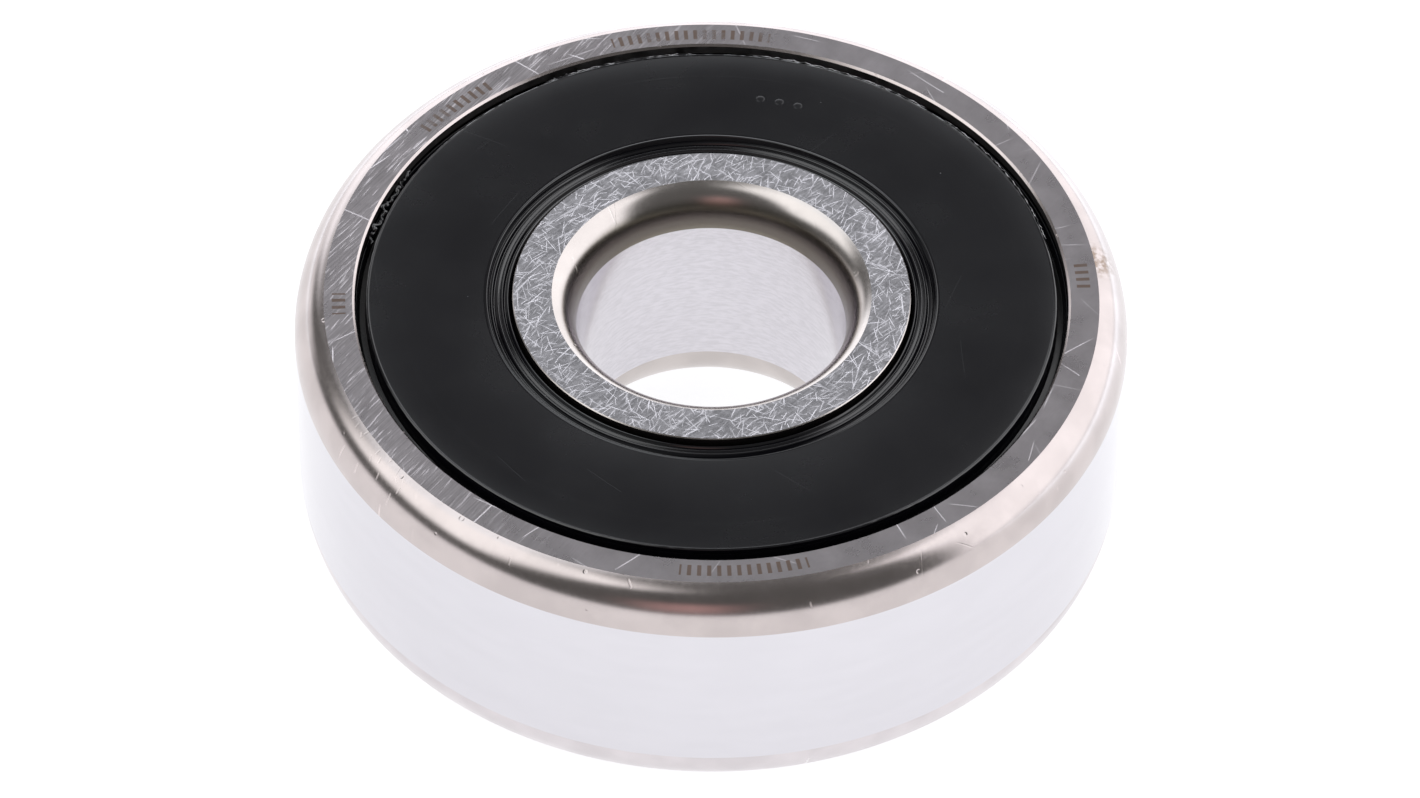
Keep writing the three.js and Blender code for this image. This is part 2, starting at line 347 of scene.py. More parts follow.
def ground_side(name, base, roughness, fine, deep, rows, left, mottle, marks=()):
    """Steel ground flat: a fine lay, deeper streaks, patches of wear, bright scratches and etched marks.

    left is how much of the lay is left on the +X half: 1.0 is as much as on the -X half. The scratches thin
    out there by half as much. mottle is how much the shade varies from grain to grain. The torn metal in a
    streak or a scratch scatters light, so it is rougher and lighter than the ground face.
    """
    made, tree, shader, position = material(name, base, 1.0, roughness)
    lay = use(tree, grinding_lay, position, fine)
    streak = most(tree, [step(tree, use(tree, grinding_lay, position, one), 0.62, 0.70) for one in deep])
    place = add(tree, "SeparateXYZ", {0: position}).outputs
    east = calc(tree, "MULTIPLY_ADD", place["Y"], -0.25, place["X"])
    kept = calc(tree, "MULTIPLY_ADD", step(tree, east, 1.0 * MM, -13.0 * MM), 1.0 - left, left)
    patches = noise(tree, position, 650.0, 4.0, 0.6)
    streak = product(tree, streak, kept, step(tree, patches, 0.22, 0.52))
    lines = most(tree, [use(tree, scratches, position, row) for row in rows])
    lines = product(tree, lines, calc(tree, "MULTIPLY_ADD", kept, 0.5, 0.5))
    grains = noise(tree, position, 3200.0, 3.0, 0.6)
    cloudy = calc(tree, "MULTIPLY_ADD", calc(tree, "SUBTRACT", patches, 0.5), 0.25, 0.42)
    cloudy = calc(tree, "MULTIPLY_ADD", calc(tree, "SUBTRACT", grains, 0.5), mottle, cloudy)
    shade = calc(tree, "MULTIPLY_ADD", product(tree, calc(tree, "SUBTRACT", lay, 0.4), kept), 0.8, cloudy)
    colour = blend(tree, step(tree, shade, 0.2, 0.8), times(base, 0.72), times(base, 1.22))
    torn = most(tree, [product(tree, streak, 0.38), lines])
    if marks:
        etched = most(tree, [use(tree, etched_ticks, position, mark) for mark in marks])
        torn = product(tree, torn, calc(tree, "MULTIPLY_ADD", etched, -0.9, 1.0))
    colour = blend(tree, torn, colour, times(base, 1.75))
    if marks:
        worn = product(tree, etched, step(tree, patches, 0.25, 0.50), 0.75)
        colour = blend(tree, worn, colour, (0.26, 0.165, 0.11))
    tree.links.new(colour, shader.inputs["Base Color"])
    rough = calc(tree, "MULTIPLY_ADD", patches, 0.06, roughness - 0.08)
    tree.links.new(calc(tree, "MULTIPLY_ADD", torn, 0.34, rough), shader.inputs["Roughness"])
    bumped(tree, shader, calc(tree, "SUBTRACT", product(tree, lay, kept, 0.3), torn), 0.5, 0.008 * MM)
    return made


def turned_corner(name, base, roughness, stain=None, scale=None, knocked=None):
    """Turned and tumbled steel: satin, with soft dents, fine scratches and pale nicks.

    stain is a point in mm that has a patch of brown storage stain around it. scale is painted shade: a darker
    colour for the shade deeper down the bore, and the two heights in mm between which it comes in, on the
    upper half only. knocked is a point in mm round which handling left a cluster of knocks.
    """
    made, tree, shader, position = material(name, base, 1.0, roughness)
    cloud = noise(tree, position, 450.0, 3.0)
    grain = noise(tree, position, 6000.0)
    colour = blend(tree, step(tree, cloud, 0.3, 0.7), times(base, 0.93), times(base, 1.05))
    hair = use(tree, scratches, position, {"Spacing": 1.6 * MM, "Width": 0.02, "Share": 0.35})
    nick = {"Spacing": 1.5 * MM, "Width": 0.045, "Length": 0.28, "Share": 0.26, "Seed": 4.0}
    nicks = use(tree, scratches, position, {**nick, "Turn": 1.5, "Scatter": 1.2})
    nicks = product(tree, nicks, step(tree, noise(tree, position, 1300.0, 1.0), 0.50, 0.58))
    if knocked:
        knock = {"Spacing": 0.5 * MM, "Width": 0.13, "Length": 0.34, "Share": 0.5}
        knocks = use(tree, scratches, position, {**knock, "Turn": 1.1, "Scatter": 1.6})
        close = step(tree, from_point(tree, position, knocked), 4.0 * MM, 1.0 * MM)
        nicks = most(tree, [nicks, product(tree, knocks, close)])
    dents = use(tree, specks, position, {"Spacing": 0.9 * MM, "Size": 0.20, "Share": 0.40})
    colour = blend(tree, product(tree, nicks, 0.9), colour, times(base, 1.7))
    # Painted shade: the corner is darkened deeper down towards the bore, on the upper half only.
    if scale:
        bore_shade_colour, start, end = scale
        height = add(tree, "SeparateXYZ", {0: position}).outputs["Z"]
        upper = step(tree, height, 5.0 * MM, 7.0 * MM)
        shaded_deeper = product(tree, step(tree, height, start * MM, end * MM), upper)
        colour = blend(tree, shaded_deeper, colour, bore_shade_colour)
    if stain:
        close = step(tree, from_point(tree, position, stain), 1.4 * MM, 0.3 * MM)
        spots = step(tree, noise(tree, position, 3400.0, 3.0), 0.32, 0.62)
        colour = blend(tree, product(tree, close, spots, 0.8), colour, (0.20, 0.135, 0.085))
    tree.links.new(colour, shader.inputs["Base Color"])
    low = calc(tree, "MULTIPLY_ADD", dents, 5.0, calc(tree, "MULTIPLY_ADD", nicks, 2.0, hair))
    high = calc(tree, "MULTIPLY_ADD", cloud, 2.0, product(tree, grain, 0.15))
    bumped(tree, shader, calc(tree, "SUBTRACT", high, low), 0.35, 0.006 * MM)
    rough = calc(tree, "MULTIPLY_ADD", grain, 0.10, roughness - 0.05)
    tree.links.new(calc(tree, "MULTIPLY_ADD", nicks, 0.35, rough), shader.inputs["Roughness"])
    return made


def ground_round(name, base, roughness, dash, contrast):
    """Steel ground on a cylinder: faint dashes that run around it, each about dash long in metres."""
    made, tree, shader, position = material(name, base, 1.0, roughness)
    stretched = scaled(tree, position, 1.0 / dash, 1.0 / dash, 3.5 / dash)
    dashes = noise(tree, stretched, 1.0, 3.0, 0.55)
    darker, lighter = times(base, 1.0 - contrast), times(base, 1.0 + contrast)
    tree.links.new(blend(tree, step(tree, dashes, 0.3, 0.7), darker, lighter), shader.inputs["Base Color"])
    bumped(tree, shader, dashes, 0.3, 0.004 * MM)
    return made


def rounded(outline, steps=4):
    """A closed outline with its corners rounded: (points, the finish of the stretch after each point).

    Each row of the outline is (radius, height, corner radius, finish), in mm. At a rounded corner, the arc
    touches both sides at the same distance from the corner: corner radius over the tangent of half its angle.
    """
    points, finishes = [], []
    for i, (r, z, corner, finish) in enumerate(outline):
        here = np.array((r, z))
        if corner == 0.0:
            points.append(here)
            finishes.append(finish)
            continue
        back = np.array(outline[i - 1][:2]) - here
        ahead = np.array(outline[(i + 1) % len(outline)][:2]) - here
        back, ahead = back / np.linalg.norm(back), ahead / np.linalg.norm(ahead)
        half = 0.5 * math.acos(np.clip(back @ ahead, -1.0, 1.0))
        middle = here + (back + ahead) / np.linalg.norm(back + ahead) * corner / math.sin(half)
        start = here + back * corner / math.tan(half) - middle
        end = here + ahead * corner / math.tan(half) - middle
        turn = math.pi - 2 * half
        for k in range(steps + 1):
            t = k / steps
            reached = math.sin((1 - t) * turn) * start + math.sin(t * turn) * end
            points.append(middle + reached / math.sin(turn))
            finishes.append(finish)
    return np.array(points), finishes


def mesh_piece(name, points, faces, materials, finishes=None, sharp=30.0):
    """A new object at the origin from points in mm and faces, smooth but for edges over an angle."""
    mesh = bpy.data.meshes.new(name)
    mesh.from_pydata(np.asarray(points) * MM, [], faces)
    for made in materials:
        mesh.materials.append(made)
    if finishes is not None:
        mesh.polygons.foreach_set("material_index", np.asarray(finishes, np.int32))
    mesh.shade_smooth()
    mesh.set_sharp_from_angle(angle=math.radians(sharp))
    piece = bpy.data.objects.new(name, mesh)
    scene.collection.objects.link(piece)
    return piece


def around_z(r, z, angle):
    """The points at radius r and height z, at each angle about Z from +X."""
    return np.stack([r * np.cos(angle), r * np.sin(angle), z + 0 * angle], axis=-1)


def face_rows(corners):
    """The point numbers of each face, from arrays of the faces' first corners, second corners and so on."""
    return np.stack(corners, axis=-1).reshape(-1, len(corners)).tolist()


def closed_faces(rows, columns):
    """The faces of a grid of points, in row order, that closes on itself both ways."""
    row, column = np.meshgrid(np.arange(rows), np.arange(columns), indexing="ij")
    here, ahead = row * columns, (row + 1) % rows * columns
    next_column = (column + 1) % columns
    return face_rows([here + column, ahead + column, ahead + next_column, here + next_column])


def turned_ring(name, outline, materials, around, sharp=30.0, moved=None):
    """A closed outline turned about Z: point (r, z) at angle a goes to (r cos a, r sin a, z).

    moved, if given, is a function of the points and their angles that returns the points in their places.
    """
    section, finishes = rounded(outline)
    angle = np.linspace(0.0, 2 * math.pi, around, endpoint=False)[:, None]
    points = around_z(section[:, 0], section[:, 1], angle)
    if moved:
        points = moved(points, angle)
    faces = closed_faces(around, len(section))
    return mesh_piece(name, points.reshape(-1, 3), faces, materials, np.tile(finishes, around), sharp)


def mirrored(outline, width):
    """The same outline on the other side of the middle, in the opposite order.

    A stretch keeps its finish: in the opposite order, a stretch starts where it ended before.
    """
    flipped = [(r, width - z, corner, None) for r, z, corner, finish in outline][::-1]
    finishes = [finish for r, z, corner, finish in outline][::-1]
    following = finishes[1:] + finishes[:1]
    return [(r, z, corner, finish) for (r, z, corner, blank), finish in zip(flipped, following)]


def lower_corner(wall_r, face_r, along, last, finish, steps=18):
    """A ring's lower corner, from its round wall to its side face, as rows of an outline without the last.

    It is an arc of an ellipse that leaves the wall straight up and ends on the face after last degrees, a
    little before it would lie flat, which leaves a fine edge there.
    """
    across = (face_r - wall_r) / (1 - math.cos(math.radians(last)))
    rise = along / math.sin(math.radians(last))
    turn = np.radians(np.linspace(0.0, last, steps + 1)[:-1])
    return [(wall_r + across * (1 - math.cos(a)), along - rise * math.sin(a), 0.0, finish) for a in turn]


def race(middle_r, grooving, shoulder_r, side, steps=24):
    """A raceway's arc from one shoulder to the other, as rows of an outline.

    side is 1 for the outer ring, where it starts at the upper shoulder, and -1 for the inner ring, where it
    starts at the lower one. grooving is the arc's own radius, about a point at middle_r in the middle plane.
    """
    half = math.acos(side * (shoulder_r - middle_r) / grooving)
    angle = np.linspace(half, -half, steps + 1)
    r, z = middle_r + side * grooving * np.cos(angle), MIDDLE + grooving * np.sin(angle)
    return [(r[i], z[i], 0.0, RACE) for i in range(steps + 1)][::side]


outer_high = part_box("outer_ring")[1]
OUTSIDE_R = outer_high.x / MM
WIDTH = outer_high.z / MM
MIDDLE = WIDTH / 2
BALL_R = 3.969
PITCH_R = 12.25
CORNER, OUTSIDE, SIDE, RECESS, RACE, LOWER = range(6)
CORNER_ACROSS, CORNER_ALONG = 1.34, 2.04

TICK_SPACE = 0.026
tick_rows = ((-176.0, 17.0), (-134.5, 10.0), (-86.5, 3.0), (5.5, 13.0), (95.0, 4.0))
outer_side = ground_side(
    "ground_outer_side",
    base=(0.59, 0.55, 0.575),
    roughness=0.33,
    fine={"Turn": 0.96, "Along": 260.0, "Across": 15000.0},
    deep=(
        {"Turn": 0.93, "Along": 340.0, "Across": 9000.0},
        {"Turn": 1.00, "Along": 420.0, "Across": 7000.0},
        {"Turn": 1.05, "Along": 600.0, "Across": 11000.0},
    ),
    rows=(
        {"Spacing": 3.4 * MM, "Width": 0.014, "Length": 0.5, "Share": 0.55, "Seed": 3.0},
        {"Spacing": 1.7 * MM, "Width": 0.020, "Length": 0.5, "Share": 0.40, "Seed": 11.0},
    ),
    left=0.06,
    mottle=0.10,
    marks=[{"Middle": math.radians(middle), "Space": TICK_SPACE, "Bars": bars} for middle, bars in tick_rows],
)
corner_steel = turned_corner(
    "turned_corner", (0.57, 0.51, 0.50), 0.20, stain=(16.95, 2.4, 11.9), knocked=(-14.6, -10.4, 11.0)
)
# The lower corner is the same turned steel painted lighter: a painted reflection of the bright lit table
# below it.
table_lit_lower_corner_steel = turned_corner("lightened_lower_corner", (0.68, 0.64, 0.655), 0.20)
outside_steel = ground_round("ground_outside", (0.70, 0.686, 0.722), 0.14, dash=3.0 * MM, contrast=0.01)
# The recess walls and the lands under the seals are the same turned steel painted dark: painted shade where
# the seal and the groove shut out the light.
shaded_recess_steel = turned_corner("shaded_recess", (0.20, 0.185, 0.18), 0.30)
race_steel = ground_round("honed_raceway", (0.74, 0.74, 0.76), 0.07, dash=4.0 * MM, contrast=0.01)

# The lower recess, from the raceway outwards: the ledge that the seal sits on, the undercut that its bead
# snaps into, and the mouth with its eased edge.
MOUTH_R, SNAP_R, LEDGE_R = 15.80, 16.15, 14.75
EASED_ACROSS, EASED_ALONG = 0.10, 0.09
SNAP_START, RECESS_DEPTH = 0.90, 1.55
lower_recess = [
    (LEDGE_R, RECESS_DEPTH, 0.0, RECESS),
    (SNAP_R, RECESS_DEPTH, 0.0, RECESS),
    (SNAP_R, SNAP_START, 0.0, RECESS),
    (MOUTH_R, 0.50, 0.0, RECESS),
    (MOUTH_R, EASED_ALONG, 0.0, CORNER),
    (MOUTH_R + EASED_ACROSS, 0.0, 0.0, SIDE),
]
upper_recess = mirrored(lower_recess, WIDTH)[:-1] + [(LEDGE_R, WIDTH - RECESS_DEPTH, 0.0, RECESS)]
FACE_R = OUTSIDE_R - CORNER_ACROSS
outer_corner = lower_corner(OUTSIDE_R, FACE_R, CORNER_ALONG, 82.0, CORNER)
outer_outline = (
    [(FACE_R, 0.0, 0.0, LOWER)]
    + [(r, z, corner, LOWER) for r, z, corner, finish in outer_corner[:0:-1]]
    + [(OUTSIDE_R, CORNER_ALONG, 0.0, OUTSIDE)]
    + [(r, WIDTH - z, corner, finish) for r, z, corner, finish in outer_corner]
    + [(FACE_R, WIDTH, 0.0, SIDE)]
    + upper_recess
    + race(12.17, 4.13, shoulder_r=14.80, side=1)
    + lower_recess
)
outer_materials = [corner_steel, outside_steel, outer_side, shaded_recess_steel, race_steel, table_lit_lower_corner_steel]
outer_ring = turned_ring("outer_ring_ground", outer_outline, outer_materials, around=512, sharp=7.0)
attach(outer_ring, "outer_ring")
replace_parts(outer_ring, "outer_ring")

# ---------------------------------------------------------------------------------------------------------
# Inner ring. The same steel and much the same finishes, but its sides are scratched from end to end, mostly
# one way, so they are brighter. The seal's lip runs on a land beside each side. The bore is honed, which
# leaves fine dashes.
BORE_R = 6.0
BORE_ACROSS, BORE_ALONG = 1.08, 1.98
LAND_R, SHOULDER_R = 8.82, 9.75
BREAK, LAND_END, SHOULDER_START = 0.04, 1.10, 1.70
inner_side = ground_side(
    "ground_inner_side",
    base=(0.53, 0.52, 0.55),
    roughness=0.36,
    fine={"Turn": 0.80, "Along": 900.0, "Across": 9000.0},
    deep=(
        {"Turn": 0.70, "Along": 900.0, "Across": 8000.0},
        {"Turn": 1.05, "Along": 1100.0, "Across": 9000.0},
        {"Turn": 2.50, "Along": 1600.0, "Across": 9000.0},
    ),
    rows=[
        {
            "Spacing": spacing * MM,
            "Width": width,
            "Length": length,
            "Share": share,
            "Seed": seed,
            "Turn": turn,
            "Scatter": scatter,
        }
        for spacing, width, length, share, seed, turn, scatter in (
            (2.3, 0.015, 0.45, 0.9, 2.0, 1.1, 1.0),
            (1.7, 0.020, 0.45, 0.9, 5.0, 1.0, 1.4),
            (1.4, 0.016, 0.55, 0.8, 8.0, 0.0, 6.3),
            (1.2, 0.018, 0.55, 0.9, 13.0, 2.5, 1.6),
            (1.0, 0.024, 0.55, 0.9, 19.0, 0.9, 1.0),
            (0.8, 0.028, 0.55, 0.9, 23.0, 1.0, 2.2),
            (0.5, 0.042, 0.55, 0.9, 31.0, 1.0, 2.6),
        )
    ],
    left=1.0,
    mottle=0.9,
)
# Painted shade for the bore corner: darker from 11.62 mm down to 11.20 mm and below, deeper in the bore.
painted_bore_shade = ((0.225, 0.205, 0.175), 11.62, 11.20)
bore_corner_steel = turned_corner("turned_bore_corner", (0.60, 0.555, 0.535), 0.22, scale=painted_bore_shade)
bore_steel = ground_round("honed_bore", (0.69, 0.67, 0.705), 0.20, dash=0.45 * MM, contrast=0.05)
INNER_FACE_R = BORE_R + BORE_ACROSS
bore_corner = lower_corner(BORE_R, INNER_FACE_R, BORE_ALONG, 77.0, CORNER)
lower_land = [
    (INNER_FACE_R, 0.0, 0.0, SIDE),
    (LAND_R - BREAK, 0.0, 0.0, CORNER),
    (LAND_R, BREAK, 0.0, RECESS),
    (LAND_R, LAND_END, 0.0, RECESS),
    (SHOULDER_R, SHOULDER_START, 0.0, RECESS),
]
inner_outline = (
    bore_corner
    + lower_land
    + race(12.36, 4.10, SHOULDER_R, side=-1)
    + mirrored(lower_land, WIDTH)[:-1]
    + [(INNER_FACE_R, WIDTH, 0.0, CORNER)]
    + [(r, WIDTH - z, corner, finish) for r, z, corner, finish in bore_corner[:0:-1]]
    + [(BORE_R, WIDTH - BORE_ALONG, 0.0, OUTSIDE)]
)
inner_materials = [bore_corner_steel, bore_steel, inner_side, shaded_recess_steel, race_steel]
inner_ring = turned_ring("inner_ring_ground", inner_outline, inner_materials, around=384, sharp=7.0)
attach(inner_ring, "inner_ring")
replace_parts(inner_ring, "inner_ring")

# ---------------------------------------------------------------------------------------------------------
# Balls. Six balls of hardened steel, lapped to a mirror finish, that roll between the two raceways.
BALLS = 6


def tube_faces(rows, around):
    """The faces of a tube of that many rings, each counted anticlockwise as seen from the last ring's side.

    Its ends are closed by fans on the two points after the rings': the first ring's, then the last ring's.
    """
    turn = np.arange(around)
    following = (turn + 1) % around
    start = around * np.arange(rows - 1)[:, None]
    walls = [start + turn, start + following, start + around + following, start + around + turn]
    low = [following, turn, np.full(around, rows * around)]
    top = (rows - 1) * around
    high = [top + turn, top + following, np.full(around, rows * around + 1)]
    return face_rows(walls) + face_rows(low) + face_rows(high)


def turned_solid(name, section, centre, materials, around):
    """An outline from the axis below to the axis above, turned about the vertical through the centre.

    The two end points stay single, and a fan of triangles closes each of them.
    """
    angle = np.linspace(0.0, 2 * math.pi, around, endpoint=False)[None, :]
    inner = section[1:-1]
    walls = around_z(inner[:, :1], inner[:, 1:], angle)
    poles = np.array([(0.0, 0.0, section[0, 1]), (0.0, 0.0, section[-1, 1])])
    points = np.concatenate([walls.reshape(-1, 3), poles]) + np.asarray(centre)
    return mesh_piece(name, points, tube_faces(len(inner), around), materials)


def place_on_pitch(angle):
    """The point on the pitch circle at that angle, in the middle plane, in mm."""
    return (PITCH_R * math.cos(angle), PITCH_R * math.sin(angle), MIDDLE)


lapped, tree, shader, position = material("lapped_ball", (0.72, 0.73, 0.75), 1.0, 0.05)
haze = noise(tree, position, 700.0, 4.0)
tree.links.new(calc(tree, "MULTIPLY_ADD", haze, 0.05, 0.03), shader.inputs["Roughness"])
latitude = np.radians(np.linspace(-90, 90, 49))
ball_section = BALL_R * np.stack([np.cos(latitude), np.sin(latitude)], axis=-1)
for i in range(BALLS):
    name = "ball_" + str(i + 1)
    centre = place_on_pitch(2 * math.pi * i / BALLS)
    ball = turned_solid("lapped_" + name, ball_section, centre, [lapped], around=96)
    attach(ball, name)
    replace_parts(ball, name)

# ---------------------------------------------------------------------------------------------------------
# Cage. Two ribbons pressed from steel sheet, one above the balls and one below, that keep them apart. Each
# is flat between the balls and domed over them.
SHEET = 0.5
POCKET_R = BALL_R + 0.2
CAGE_INNER_R, CAGE_OUTER_R = 10.65, 13.8
HALF_GAP = 0.02

pressed, tree, shader, position = material("pressed_cage", (0.50, 0.49, 0.47), 1.0, 0.38)
drawn = noise(tree, scaled(tree, position, 1.0, 1.0, 6.0), 800.0)
tree.links.new(calc(tree, "MULTIPLY_ADD", drawn, 0.25, 0.25), shader.inputs["Roughness"])
bumped(tree, shader, noise(tree, position, 2500.0, 4.0), 0.4, 0.01 * MM)


def ribbon(name, side):
    """Half a cage: the middle of its sheet runs round each radius r as arcs and straights.

    Over a ball, a point at tangential distance q from it stands sqrt(R2 - q2) high, where R2 is the dome's
    radius squared less (r - pitch) squared, and q = 2 sqrt(r pitch) sin(angle / 2). Between the balls it is
    flat. The two faces lie half a sheet to either side, along the arc's own slope.
    """
    dome_r = POCKET_R + SHEET / 2
    r = np.linspace(CAGE_INNER_R, CAGE_OUTER_R, 13)[:, None]
    reach = np.sqrt(dome_r**2 - (r - PITCH_R) ** 2)
    flat_height = SHEET / 2
    last = np.arccos(flat_height / reach)
    lean = np.linspace(-1.0, 1.0, 41)[None, :] * last
    over_ball = 2 * np.arcsin(reach * np.sin(lean) / (2 * np.sqrt(r * PITCH_R)))
    edge = over_ball[:, -1:]
    between = edge + (2 * math.pi / BALLS - 2 * edge) * np.linspace(0.0, 1.0, 15)[None, 1:-1]
    angle = np.concatenate([over_ball, between], axis=1)
    height = np.concatenate([reach * np.cos(lean), flat_height + 0 * between], axis=1)
    slope = np.concatenate([lean, 0 * between], axis=1)
    turns = 2 * math.pi / BALLS * np.arange(BALLS)
    angle = np.concatenate([angle + turn for turn in turns], axis=1)
    height = np.tile(height, (1, BALLS))
    slope = np.tile(slope, (1, BALLS))
    skins = []
    for half in (SHEET / 2, -SHEET / 2):
        shifted = angle + half * np.sin(slope) / r
        lifted = np.maximum(height + half * np.cos(slope), 0.0) + HALF_GAP
        skins.append(around_z(r, MIDDLE + side * lifted, side * shifted))
    loop = np.concatenate([skins[0], skins[1][::-1]], axis=0)
    piece = mesh_piece(name, loop.reshape(-1, 3), closed_faces(*loop.shape[:2]), [pressed])
    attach(piece, "cage")
    return piece


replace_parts(ribbon("pressed_upper_cage", 1), "upper_cage_half")
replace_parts(ribbon("pressed_lower_cage", -1), "lower_cage_half")

# ---------------------------------------------------------------------------------------------------------
# Rivets. Six soft steel rivets, closed cold over both halves of the cage between the balls.
RIVET_R, HEAD_R, HEAD_HEIGHT = 0.6, 1.15, 0.5
HEAD_GAP = 0.02
closed_head, tree, shader, position = material("closed_rivet", (0.56, 0.55, 0.53), 1.0, 0.30)
dimples = noise(tree, position, 3500.0, 3.0)
tree.links.new(calc(tree, "MULTIPLY_ADD", dimples, 0.2, 0.2), shader.inputs["Roughness"])
bumped(tree, shader, dimples, 0.3, 0.01 * MM)
head_low = SHEET + HALF_GAP + HEAD_GAP
dome = np.radians(np.linspace(0, 90, 9))
head = np.stack([HEAD_R * np.cos(dome), head_low + HEAD_HEIGHT * np.sin(dome)], axis=-1)
upper_half = np.concatenate([[(RIVET_R, head_low)], head])
upper_half[-1, 0] = 0.0
rivet_section = np.concatenate([upper_half[::-1] * (1, -1), upper_half])
for i in range(BALLS):
    name = "cage_rivet_" + str(i + 1)
    centre = place_on_pitch(2 * math.pi * (i + 0.5) / BALLS)
    rivet = turned_solid("closed_" + name, rivet_section, centre, [closed_head], around=32)
    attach(rivet, "cage")
    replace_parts(rivet, name)

# ---------------------------------------------------------------------------------------------------------
# Seal washers. A thin steel washer stiffens each seal. Its rim is turned in towards the balls, and its
# rubber is moulded over the outside and the rim.
WASHER_DEPTH, WASHER_SHEET = 0.75, 0.3
WASHER_INNER_R, WASHER_OUTER_R = 10.1, 15.2
RIM_TURNED_IN = 0.65
washer_steel, tree, shader, position = material("pressed_washer", (0.46, 0.455, 0.445), 1.0, 0.4)
rolled = noise(tree, scaled(tree, position, 8.0, 1.0, 1.0), 500.0)
tree.links.new(calc(tree, "MULTIPLY_ADD", rolled, 0.2, 0.3), shader.inputs["Roughness"])


def from_side(outline, upper):
    """Rows of (radius, depth below the side face, corner radius, finish) as an outline on that side."""
    if not upper:
        return outline
    return mirrored(outline, WIDTH)


washer_outline = [
    (WASHER_INNER_R, WASHER_DEPTH, 0.05, 0),
    (WASHER_OUTER_R, WASHER_DEPTH, 0.15, 0),
    (WASHER_OUTER_R, WASHER_DEPTH + RIM_TURNED_IN, 0.05, 0),
    (WASHER_OUTER_R - WASHER_SHEET, WASHER_DEPTH + RIM_TURNED_IN, 0.05, 0),
    (WASHER_OUTER_R - WASHER_SHEET, WASHER_DEPTH + WASHER_SHEET, 0.05, 0),
    (WASHER_INNER_R, WASHER_DEPTH + WASHER_SHEET, 0.05, 0),
]
for side, upper in (("lower", False), ("upper", True)):
    outline = from_side(washer_outline, upper)
    washer = turned_ring("pressed_" + side + "_washer", outline, [washer_steel], around=192)
    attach(washer, "outer_ring")
    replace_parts(washer, side + "_seal_washer")


# ---------------------------------------------------------------------------------------------------------
# Seal rubber. Black nitrile rubber, moulded. Its flat face lies just below the ring's, its bead snaps into
# the outer ring's recess, and fine ridges run round its lip beside the inner ring. Handling leaves dust.
def moulded(name, low_rough, high_rough):
    """Black rubber with faint smears, pores, grains of dust and a few scuffs.

    Crumbs that trimming left cling to its rim, in stretches, on the half away from the camera; their pale
    colour is a painted highlight on that flash.
    """
    black = (0.0038, 0.0036, 0.0056)
    made, tree, shader, position = material(name, black, 0.0, high_rough)
    smear = noise(tree, position, 220.0, 5.0, 0.6)
    pores = noise(tree, position, 9000.0)
    grains = (
        {"Spacing": 1.5 * MM, "Size": 0.045, "Share": 0.20},
        {"Spacing": 0.6 * MM, "Size": 0.07, "Share": 0.035},
    )
    dust = most(tree, [use(tree, specks, position, row) for row in grains])
    scuff = {"Spacing": 4.0 * MM, "Width": 0.008, "Share": 0.3, "Seed": 7.0}
    scuffed = use(tree, scratches, position, scuff)
    # Painted highlight: pale crumbs of flash on the rim, on the far half only, stand in for the glints on it.
    crumb_highlight_r = 15.27
    off_rim = calc(tree, "ABSOLUTE", calc(tree, "SUBTRACT", from_axis(tree, position), crumb_highlight_r * MM))
    at_rim = step(tree, off_rim, 0.09 * MM, 0.03 * MM)
    clinging = step(tree, noise(tree, position, 2600.0, 3.0), 0.40, 0.55)
    stretches = step(tree, noise(tree, position, 90.0, 1.0), 0.40, 0.52)
    farther = step(tree, add(tree, "SeparateXYZ", {0: position}).outputs["Y"], 3.0 * MM, 9.0 * MM)
    crumbs_and_highlight = product(tree, clinging, stretches, at_rim, farther)
    pale = most(tree, [product(tree, dust, 0.5), product(tree, scuffed, 0.06), product(tree, crumbs_and_highlight, 0.8)])
    tree.links.new(blend(tree, pale, black, (0.42, 0.43, 0.45)), shader.inputs["Base Color"])
    rough = calc(tree, "MULTIPLY_ADD", smear, high_rough - low_rough, low_rough)
    tree.links.new(rough, shader.inputs["Roughness"])
    bumped(tree, shader, calc(tree, "MULTIPLY_ADD", pores, 0.4, crumbs_and_highlight), 0.25, 0.004 * MM)
    return made


seal_face = moulded("moulded_face", 0.20, 0.32)
seal_lip = moulded("moulded_lip", 0.05, 0.12)
seal_lip.node_tree.nodes["Principled BSDF"].inputs["IOR"].default_value = 1.7
FACE, LIP = range(2)

